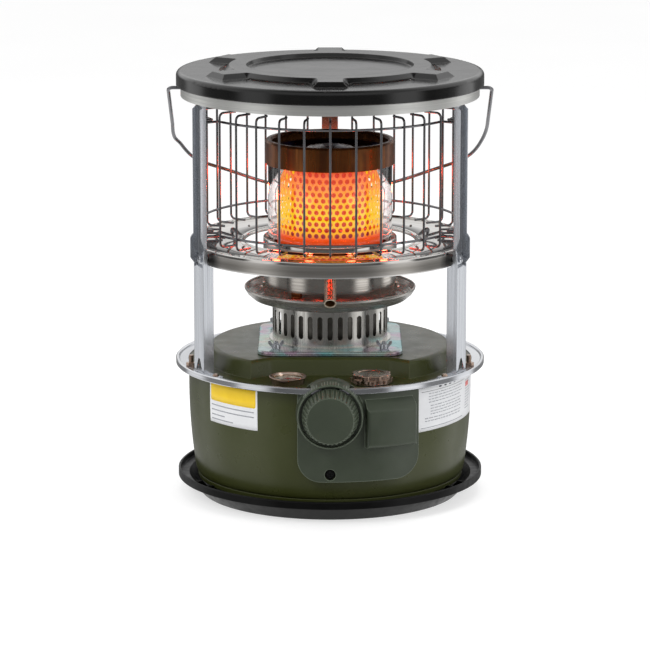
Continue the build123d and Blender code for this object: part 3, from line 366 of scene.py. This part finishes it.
def lacquer(name, color, drift, roughness, grain, amount, pores):
    """Plain printed or lacquered surface: its colour drifts a little, and fine pores break its gloss."""
    made = Finish(name, color, roughness=roughness)
    made.tint(made.noise(grain), drift, amount)
    made.bump(made.noise(pores, 2), 0.01, 0.2)
    return made


dial_white = lacquer("dial_enamel", "e6e4da", "d8d4c8", 0.35, 150, 0.4, 900)
dial_red = lacquer("dial_red", "b81a12", "9c130d", 0.4, 300, 0.5, 900)
needle_red = lacquer("pointer_red", "c4211a", "a11510", 0.35, 300, 0.5, 900)

cork = Finish("cork_fibre", "1d1a16", roughness=0.85)
cork.tint(cork.noise(300, 5), "3a3127", 0.8)
cork.bump(cork.noise(700, 4), 0.15, 0.6)

wick_fibre = Finish("wick_fibre", "c9c2b0", roughness=0.9, sheen_weight=0.3)
wick_fibre.tint(wick_fibre.noise((900, 900, 120), 4), "8f836d", 0.6)
wick_fibre.bump(wick_fibre.noise((1200, 1200, 300), 3), 0.2, 0.8)

inner_steel = Finish("plain_inner_steel", "7f7c76", metallic=1.0, roughness=0.4, edge=0.3)
inner_steel.tint(inner_steel.noise((30, 30, 200), 4), "5e5a54", 0.6)
inner_steel.rough(inner_steel.noise((90, 90, 400), 4), 0.3, 0.5)
inner_steel.bump(inner_steel.noise(400, 3), 0.02, 0.3)

sticker_white = lacquer("sticker_white", "d9dadc", "cfd0d3", 0.4, 60, 0.5, 500)
sticker_yellow = lacquer("sticker_yellow", "e9c40c", "dfb40a", 0.4, 60, 0.5, 500)
sticker_dark = lacquer("sticker_dark", "3d3f45", "55585f", 0.5, 900, 0.6, 500)
sticker_red = lacquer("sticker_red", "cf6d6a", "d98b88", 0.5, 400, 0.6, 500)
scale_white = lacquer("scale_white", "9fa698", "7d8577", 0.45, 500, 0.6, 900)

# Pale finish of the handle's rim and the skirt's side clips; on the rim its pale colour is a painted
# highlight.
handle_bright = Finish("handle_bright", "d8cbb8", metallic=0.4, roughness=0.25, edge=0.2)
handle_bright.tint(handle_bright.noise(200, 4), "97866f", 0.6)
handle_bright.rough(handle_bright.noise(300, 4), 0.14, 0.3)
handle_brown = Finish("handle_brown", "6b4a2c", metallic=0.6, roughness=0.4)
handle_brown.tint(handle_brown.noise(200, 4), "3d2817", 0.6)
handle_brown.rough(handle_brown.noise(300, 4), 0.3, 0.5)
copper_clip = Finish("copper_clip", "a4633c", metallic=1.0, roughness=0.22, edge=0.2)
copper_clip.tint(copper_clip.noise(200, 4), "6f3d22", 0.6)
copper_clip.rough(copper_clip.noise(300, 4), 0.16, 0.3)
sticker_ink = lacquer("sticker_ink", "a3a5aa", "85888f", 0.5, 900, 0.8, 500)

paint(tank_paint, "tank_lower", "tank_upper")
paint(cover_plastic, "control_cover", "knob")
paint(tray_plastic, "drip_tray")
paint(top_enamel, "top_plate")
paint(chrome_ring, "guard_ring")
paint(ring_steel, "top_ring")
paint(plate_steel, "reflector_plate", "glass_seat_ring")
paint(chrome, "guard_front", "guard_rear_left", "guard_rear_right", "guard_hoops", "bail")
paint(zinc_post, "leg_left", "leg_right", "leg_rear", "post_left", "post_right", "post_rear")
paint(iridescent, "burner_base_plate")
paint(collar_steel, "slotted_collar")
paint(dish_steel, "burner_dish")
paint(skirt_steel, "burner_skirt")
paint(nickel, "fuel_cap", "gauge_bezel")
paint(bronze, "burner_handle")
paint(heat_brown, "burner_cap_ring")
paint(heat_dark, "burner_top_dish", "heat_deflector")
paint(glass, "glass_chimney")
paint(lens, "gauge_lens")
paint(dial_white, "gauge_dial")
paint(needle_red, "gauge_needle")
paint(cork, "float", "base_gasket", "fuel_cap_gasket")
paint(wick_fibre, "wick")
paint(zinc_post, "base_studs", "wing_nuts", "post_screws", "post_spacers", "cross_pin")
paint(nickel, "foot_bolts")
paint(tray_plastic, "cover_screw")
paint(
    inner_steel, "shaft_tunnel", "draft_tube", "filler_neck", "fuel_strainer", "fuel_cap_plug", "gauge_stem",
    "float_arm", "wick_guide_tube", "wick_holder", "pinion_shaft", "pendulum_bracket", "pendulum",
)
paint(red_core, "inner_flame_tube")


# ---------------------------------------------------------------- pieces

tank_top_radius = 151
knob_height = 117
gauge_x, gauge_y = -44, -121
print_lift, print_thickness = 0.17, 0.04


def mesh_data(name, mesh, outward=False):
    """The mesh as data; with outward, its faces all look out."""
    if outward:
        bmesh.ops.recalc_face_normals(mesh, faces=mesh.faces)
    data = bpy.data.meshes.new(name)
    mesh.to_mesh(data)
    mesh.free()
    return data


def piece(name, mesh, finish, body, smooth=True):
    made = bpy.data.objects.new(name, mesh)
    bpy.context.scene.collection.objects.link(made)
    mesh.materials.append(finish.material)
    for face in mesh.polygons:
        face.use_smooth = smooth
    if smooth:
        mesh.set_sharp_from_angle(angle=radians(38))
    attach(made, body)
    return made


def solidify(made, thickness, offset=0.0):
    modifier = made.modifiers.new("thickness", "SOLIDIFY")
    modifier.thickness = thickness * MM
    modifier.offset = offset
    return made


def around(radius, angle, height):
    """Point in metres from millimetres and degrees; 270 degrees is the front."""
    return Vector((radius * cos(radians(angle)), radius * sin(radians(angle)), height)) * MM


def perforated_tube():
    """Flame tube: plain foot, rows of staggered round holes, and a flange under the cap."""
    radius, holes, pitch, hole_radius = 55.4, 48, 6.24, 2.55
    first_row, rows = 284.5, 11
    step = 360 / holes
    mesh = bmesh.new()
    known = {}

    def vertex(r, angle, height):
        key = (round(r, 3), round(angle % 360, 3) % 360, round(height, 3))
        if key not in known:
            known[key] = mesh.verts.new(around(r, angle, height))
        return known[key]

    def band(rings):
        for (r0, z0), (r1, z1) in zip(rings, rings[1:]):
            for i in range(2 * holes):
                a, b = i * step / 2, (i + 1) * step / 2
                corners = ((r0, a, z0), (r0, b, z0), (r1, b, z1), (r1, a, z1))
                mesh.faces.new([vertex(*corner) for corner in corners])

    # Corners and mid-sides of the square cell round a hole, in parts of the cell.
    outline = [(0.5, 0), (0.5, 0.5), (0, 0.5), (-0.5, 0.5), (-0.5, 0), (-0.5, -0.5), (0, -0.5), (0.5, -0.5)]
    low, high = first_row - pitch / 2, first_row + (rows - 0.5) * pitch
    band([(51, 207.5), (radius - 0.8, 207.5), (radius, 208.3), (radius, 240), (radius, low)])
    for row in range(rows):
        z0 = low + row * pitch
        for hole in range(holes):
            centre = (hole + 0.5 * (row % 2)) * step
            rim = []
            for k in range(16):
                across = hole_radius * cos(k * pi / 8) / radius * 180 / pi
                rim.append(vertex(radius, centre + across, z0 + pitch / 2 + hole_radius * sin(k * pi / 8)))
            outer = [vertex(radius, centre + u * step, z0 + (0.5 + v) * pitch) for u, v in outline]
            for k in range(8):
                a, b = outer[k], outer[(k + 1) % 8]
                h0, h1, h2 = rim[2 * k], rim[2 * k + 1], rim[(2 * k + 2) % 16]
                mesh.faces.new((h0, a, b, h2, h1))
    band([(radius, high), (radius, 354.2), (radius + 0.6, 354.8), (67, 354.8)])
    data = mesh_data("flame_tube", mesh, outward=True)
    made = piece("flame_tube_perforated", data, red_hot, "burner")
    solidify(made, 0.8)
    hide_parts("outer_flame_tube")


def tank_profile():
    """Outer radius of the tank's side at each of the heights its mesh has, in mm."""
    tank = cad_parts["tank_lower"]
    profile = {}
    for vertex in tank.data.vertices:
        place = tank.matrix_world @ vertex.co / MM
        height = round(place.z, 1)
        if 25 < height < 139:
            profile[height] = max(profile.get(height, 0), Vector((place.x, place.y)).length)
    outline = []
    for height, radius in sorted(profile.items()) + [(140, tank_top_radius)]:
        while len(outline) > 1:
            (h0, r0), (h1, r1) = outline[-2:]
            if (r1 - r0) * (height - h0) > (radius - r0) * (h1 - h0):
                break
            outline.pop()
        outline.append((height, radius))
    return outline


tank_side = tank_profile()


def tank_wall(height):
    """Radius of the tank's outer face at a height, in mm."""
    for (low, inner), (high, outer) in zip(tank_side, tank_side[1:]):
        if low <= height <= high:
            return inner + (outer - inner) * (height - low) / (high - low)
    return tank_side[0][1]


def curved_patches(name, finish, patches, lift, thickness, corner=0.0):
    """Thin sheets on the tank's side, each between two angles and two heights; corner rounds them."""
    mesh = bmesh.new()
    for start, end, low, high in patches:
        length = radians(end - start) * tank_top_radius
        parts = max(1, int(length / 4))
        stops = {length * i / parts for i in range(parts + 1)}
        if corner:
            stops |= {corner * share for share in (0.1, 0.3, 0.6, 1)}
            stops |= {length - corner * share for share in (0.1, 0.3, 0.6, 1)}
        columns = []
        for stop in sorted(stops):
            inset = max(0, corner - min(stop, length - stop))
            trim = corner - sqrt(max(0, corner ** 2 - inset ** 2))
            bottom, top = low + trim, high - trim
            rows = max(1, int((high - low) / 6))
            heights = [bottom + (top - bottom) * i / rows for i in range(rows + 1)]
            angle = start + (end - start) * stop / length
            columns.append([mesh.verts.new(around(tank_wall(z) + lift, angle, z)) for z in heights])
        for left, right in zip(columns, columns[1:]):
            for i in range(len(left) - 1):
                mesh.faces.new((left[i], right[i], right[i + 1], left[i + 1]))
    return solidify(piece(name, mesh_data(name, mesh), finish, "frame"), thickness, 1.0)


def lathe(name, profile, finish, body, origin=(0, 0, 0), axis=(0, 0, 1), steps=96, ripple=None):
    """Turned piece: (radius, height) points in mm round an axis; a closed profile makes a solid one."""
    turn = Vector(axis).to_track_quat("Z", "Y")
    mesh = bmesh.new()
    rings = []
    for radius, height in profile:
        ring = []
        for i in range(steps):
            angle = 2 * pi * i / steps
            r = radius + (ripple(angle, height) if ripple else 0)
            spoke = Vector((r * cos(angle), r * sin(angle), height)) * MM
            ring.append(mesh.verts.new(Vector(origin) * MM + turn @ spoke))
        rings.append(ring)
    for lower, upper in zip(rings, rings[1:] + rings[:1]):
        for i in range(steps):
            j = (i + 1) % steps
            mesh.faces.new((lower[i], lower[j], upper[j], upper[i]))
    return piece(name, mesh_data(name, mesh, outward=True), finish, body)


def bars(name, finish, body, boxes):
    """Small bevelled bars in one mesh: (centre, along, across, length, width, height) in mm."""
    mesh = bmesh.new()
    for centre, along, across, length, width, height in boxes:
        along, across = Vector(along).normalized(), Vector(across).normalized()
        up = along.cross(across)
        corners = []
        for a in (-0.5, 0.5):
            for b in (-0.5, 0.5):
                for c in (-0.5, 0.5):
                    corner = Vector(centre) + along * length * a + across * width * b + up * height * c
                    corners.append(mesh.verts.new(corner * MM))
        for face in ((0, 1, 3, 2), (4, 6, 7, 5), (0, 4, 5, 1), (2, 3, 7, 6), (0, 2, 6, 4), (1, 5, 7, 3)):
            mesh.faces.new([corners[i] for i in face])
    return piece(name, mesh_data(name, mesh, outward=True), finish, body, smooth=False)


perforated_tube()

# Blank stickers on the tank's side: plain lines and patches instead of any writing.
paper = 0.06
curved_patches("sticker_left", sticker_white, [(213.5, 240, 93, 139.5)], paper, 0.1, 0.8)
curved_patches(
    "sticker_left_header", sticker_yellow, [(214.3, 239.2, 116.5, 138.3)],
    print_lift, print_thickness, 2.5,
)
curved_patches(
    "sticker_left_lines", sticker_ink,
    [
        (214.8, 238.3, 111.4, 112.6), (214.8, 238.3, 106.2, 107.4), (214.8, 223, 101, 102.2),
        (214.8, 227.7, 96.4, 97.6),
    ],
    print_lift, print_thickness,
)

curved_patches("sticker_right", sticker_white, [(307.5, 355, 88.5, 139)], paper, 0.1, 0.8)
random.seed(7)
text_lines = []
for block_top, count, first, last in ((127.5, 4, 313, 337), (114.5, 4, 314, 336), (101.5, 2, 311, 336)):
    for line in range(count):
        height = block_top - 3 * line
        angle = first
        while angle < last - 2 * (line % 2):
            word = random.uniform(0.8, 2.6)
            text_lines.append((angle, min(angle + word, last), height, height + 0.9))
            angle += word + 0.45
for line in range(11):
    height = 128 - 3 * line
    text_lines.append((341, 341 + random.uniform(4, 8), height, height + 0.8))
text_lines.append((309, 338, 91.6, 92.3))
curved_patches("sticker_right_lines", sticker_ink, text_lines, print_lift, print_thickness)
curved_patches(
    "sticker_right_marks", sticker_dark,
    [(319 + 3.4 * i, 320.5 + 3.4 * i, 132.6, 134.6) for i in range(4)] + [(309, 339, 130.6, 131)],
    print_lift, print_thickness,
)
curved_patches(
    "sticker_right_patch", sticker_red, [(341.5, 346, 121.6, 127)], 0.22, print_thickness,
)

# Pale scale marks on the round hood above the knob.
hood_slope = 0.099
ticks = []
for index in range(-11, 12):
    lean = radians(index * 4.8)
    if abs(index) in (4, 8):
        continue
    out = Vector((sin(lean), 0, cos(lean)))
    along = Vector((0, -1, 0)) - out * hood_slope
    reach = 10.5 if abs(index) < 3 else 8.5
    centre = Vector((0, -168.6 + reach / 2, knob_height)) + out * (34.1 + hood_slope * reach / 2)
    ticks.append((centre, along, Vector((cos(lean), 0, -sin(lean))), reach, 0.45, 0.16))
bars("hood_scale", scale_white, "frame", ticks)

# Printed scale and red low-level sector of the fuel gauge.
dial_marks = []
for index in range(9):
    angle = radians(45 + 22.5 * index)
    along = Vector((cos(angle), sin(angle), 0))
    centre = Vector((gauge_x, gauge_y, 145.46)) + along * 12.4
    dial_marks.append((centre, along, Vector((-sin(angle), cos(angle), 0)), 3.2, 0.5, 0.1))
bars("gauge_scale", sticker_dark, "frame", dial_marks)
sector = bmesh.new()
sector_steps = 12
edges = []
for index in range(sector_steps + 1):
    angle = radians(195 + 11 * index)
    edges.append([
        sector.verts.new(Vector((gauge_x + radius * cos(angle), gauge_y + radius * sin(angle), 145.48)) * MM)
        for radius in (7.5, 13.6)
    ])
for (inner, outer), (next_inner, next_outer) in zip(edges, edges[1:]):
    sector.faces.new((inner, outer, next_outer, next_inner))
sector_mesh = mesh_data("gauge_sector", sector)
solidify(piece("gauge_sector", sector_mesh, dial_red, "frame"), 0.06, 0.0)

# Glass chimney: slightly uneven blown wall with fire-polished rims.
glass_profile = [
    (63.2, 268.6), (64.2, 268.2), (65.2, 271), (65.9, 275), (65.9, 300), (65.9, 330), (65.9, 353.6),
    (65.2, 354.7), (64.2, 354.7), (63.7, 353.6), (63.7, 330), (63.7, 300), (63.7, 275.4), (63.1, 271.4),
]
chimney = lathe(
    "glass_chimney_blown", glass_profile, glass, "burner", steps=160,
    ripple=lambda angle, height: -0.06 + 0.05 * sin(11 * angle + height / 19) * sin(5 * angle + 1.3),
)
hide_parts("glass_chimney")

# Mirror plate with rolled edges.
plate_profile = [
    (149, 257.9), (148.9, 257.55), (148.5, 257.5), (148.1, 257.6), (148, 258), (148, 272.8), (147.7, 273.2),
    (147.2, 273.2), (146.9, 272.9), (146.5, 270.9), (146.1, 270.5), (98.6, 270.5), (96.9, 271.3), (95, 272.5),
    (94, 272.8), (93.1, 272.5), (92.3, 271.7), (91.9, 270.6), (91.8, 269.4), (91.4, 269.2), (90.8, 269.4),
    (91, 270.8), (91.6, 272.2), (92.6, 273.3), (94, 273.8), (95.4, 273.3), (96.6, 272.2), (97.4, 271.7),
    (98.2, 271.5), (145.6, 271.5), (146, 271.7), (146.2, 272), (146.6, 273.6), (147, 274.1), (147.6, 274.2),
    (148.2, 274.1), (148.8, 273.5), (149, 273), (148.75, 270.4), (148.7, 266), (148.75, 260.4),
]
plate = lathe("reflector_mirror", plate_profile, plate_steel, "frame", steps=240)
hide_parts("reflector_plate")

# Pale rim, whose colour is a painted ring of highlight, and brown inside at the open end of the burner's
# handle.
handle_end = (0, -99, 221.6)
handle_axis = (0, -29.5, -21.8)
rim_profile = [(5.2, -0.4), (6.25, -0.4), (6.45, 0.1), (6.25, 0.5), (5.4, 0.5), (5.15, 0.1)]
liner_profile = [(0.2, -11.9), (4.9, -11.9), (5.24, -0.5), (4.6, -0.5), (4.3, -11), (0.2, -11.2)]
for name, profile, finish, slot in (
    ("handle_rim", rim_profile, handle_bright, "nickel"),
    ("handle_liner", liner_profile, handle_brown, "heat_steel"),
):
    lathe(name, profile, finish, "burner", origin=handle_end, axis=handle_axis, steps=48)

# Small spring clips on the burner's skirt.
for name, azimuth, finish, slot in (
    ("front", 240, copper_clip, "bronze"), ("left", 180, handle_bright, "nickel"),
    ("right", 0, handle_bright, "nickel"),
):
    out = around(1000, azimuth, 0)
    side = around(1000, azimuth + 90, 0)
    bars(
        f"skirt_clip_{name}", finish, "burner",
        [
            (out * 71 + Vector((0, 0, 222.4)), side, (0, 0, 1), 11, 5.4, 1.6),
            (out * 72.3 + Vector((0, 0, 220)), side, (0, 0, 1), 8.6, 1.2, 3.6),
        ],
    )

# ---------------------------------------------------------------- stage, lights and camera


def stage_plane(name, finish, size, location):
    """Level square that the object stands on, outside the model."""
    mesh = bpy.data.meshes.new(name)
    half = size / 2
    corners = [(-half, -half, 0), (half, -half, 0), (half, half, 0), (-half, half, 0)]
    mesh.from_pydata(corners, [], [(0, 1, 2, 3)])
    made = bpy.data.objects.new(name, mesh)
    made.location = location
    mesh.materials.append(finish.material)
    bpy.context.scene.collection.objects.link(made)
    return made


floor_finish = Finish("pale_floor", "b9b9b9", roughness=0.9, specular_ior_level=0.0, emission_strength=0.62)
floor_finish.shader.inputs["Emission Color"].default_value = (1, 1, 1, 1)
floor_finish.tint(floor_finish.noise(3, 2), "b5b5b5", 0.5)
stage_plane("floor", floor_finish, 60, (0, 0, -0.0004)).visible_glossy = False


def studio_world():
    """White backdrop for the camera; the object is lit by a roof, side strips, the ground and a dim front."""
    world = bpy.data.worlds.new("studio")
    bpy.context.scene.world = world
    world.use_nodes = True
    tree = world.node_tree

    def value(kind, operation=None, **settings):
        made = tree.nodes.new(kind)
        if operation:
            made.operation = operation
        for key, setting in settings.items():
            setattr(made, key, setting)
        return made

    def fade(source, start, end, low=0.0, high=1.0):
        made = value("ShaderNodeMapRange", interpolation_type="SMOOTHSTEP")
        for index, number in enumerate((start, end, low, high), start=1):
            made.inputs[index].default_value = number
        tree.links.new(source, made.inputs[0])
        return made.outputs[0]

    def math(operation, first, second):
        made = value("ShaderNodeMath", operation)
        for index, part in enumerate((first, second)):
            if isinstance(part, (int, float)):
                made.inputs[index].default_value = part
            else:
                tree.links.new(part, made.inputs[index])
        return made.outputs[0]

    direction = value("ShaderNodeSeparateXYZ")
    tree.links.new(value("ShaderNodeTexCoord").outputs["Generated"], direction.inputs[0])
    x, y, z = direction.outputs
    sideways = math("ABSOLUTE", x, 0)
    roof = math("MULTIPLY", fade(z, 0.03, 0.26, 0.1, 1.0), fade(z, 0.98, 0.84, 0.1, 1.0))
    roof = math("MULTIPLY", roof, fade(y, -0.3, 0.3, 0.6, 1.0))
    ground = math("MULTIPLY", fade(z, -0.1, -0.5), fade(y, -0.8, -0.2, 0.3, 0.95))
    front = fade(y, -0.5, -0.95, 0.0, 0.1)
    strip = math("MULTIPLY", fade(sideways, 0.62, 0.78), fade(sideways, 0.97, 0.9))
    strip = math("MULTIPLY", strip, fade(z, 0.75, 0.35, 0.0, 0.9))
    strip = math("MULTIPLY", strip, fade(x, -0.2, 0.2, 1.0, 1.25))
    brightest = math("MAXIMUM", math("MAXIMUM", roof, ground), math("MAXIMUM", strip, front))
    studio = math("ADD", brightest, 0.05)
    ray = value("ShaderNodeLightPath")
    backdrop = math("MAXIMUM", ray.outputs["Is Camera Ray"], ray.outputs["Is Transmission Ray"])
    room = math("MULTIPLY", math("SUBTRACT", 1, backdrop), studio)
    tree.links.new(math("ADD", room, backdrop), tree.nodes["Background"].inputs["Strength"])
    tree.nodes["Background"].inputs["Color"].default_value = (1, 1, 1, 1)


studio_world()


def area_light(name, location, size, power):
    """Soft white light that looks at the middle of the object and is not seen itself."""
    data = bpy.data.lights.new(name, "AREA")
    data.shape = "RECTANGLE"
    data.size, data.size_y = size
    data.energy = power
    made = bpy.data.objects.new(name, data)
    made.location = location
    made.rotation_euler = (Vector((0, 0, 0.2)) - Vector(location)).to_track_quat("-Z", "Y").to_euler()
    bpy.context.scene.collection.objects.link(made)
    made.visible_camera = False
    made.visible_glossy = False


area_light("key", (-1.3, -1.6, 1.7), (1.0, 1.0), 22)
area_light("fill", (1.6, -1.3, 1.1), (0.8, 1.2), 11)
area_light("top", (0.1, 0.3, 1.9), (1.2, 1.2), 16)

# Small red lamps in the gap between the glass and the guard: the glow that the burner throws on the metal.
for index in range(8):
    angle = 22.5 + 45 * index
    data = bpy.data.lights.new(f"glow_{index}", "POINT")
    data.energy = 0.06
    data.color = (1, 0.07, 0.03)
    data.shadow_soft_size = 0.006
    glow = bpy.data.objects.new(f"glow_{index}", data)
    glow.location = around(78, angle, 322)
    glow.visible_camera = False
    glow.visible_transmission = False
    bpy.context.scene.collection.objects.link(glow)

camera_data = bpy.data.cameras.new("camera")
camera_data.sensor_width = 36
camera_data.lens = 196.7
camera = bpy.data.objects.new("camera", camera_data)
camera.location = (-0.00535, -3.717, 0.968)
camera.rotation_euler = (radians(78), 0, 0)
bpy.context.scene.collection.objects.link(camera)
bpy.context.scene.camera = camera

bpy.context.scene.view_settings.view_transform = "Standard"
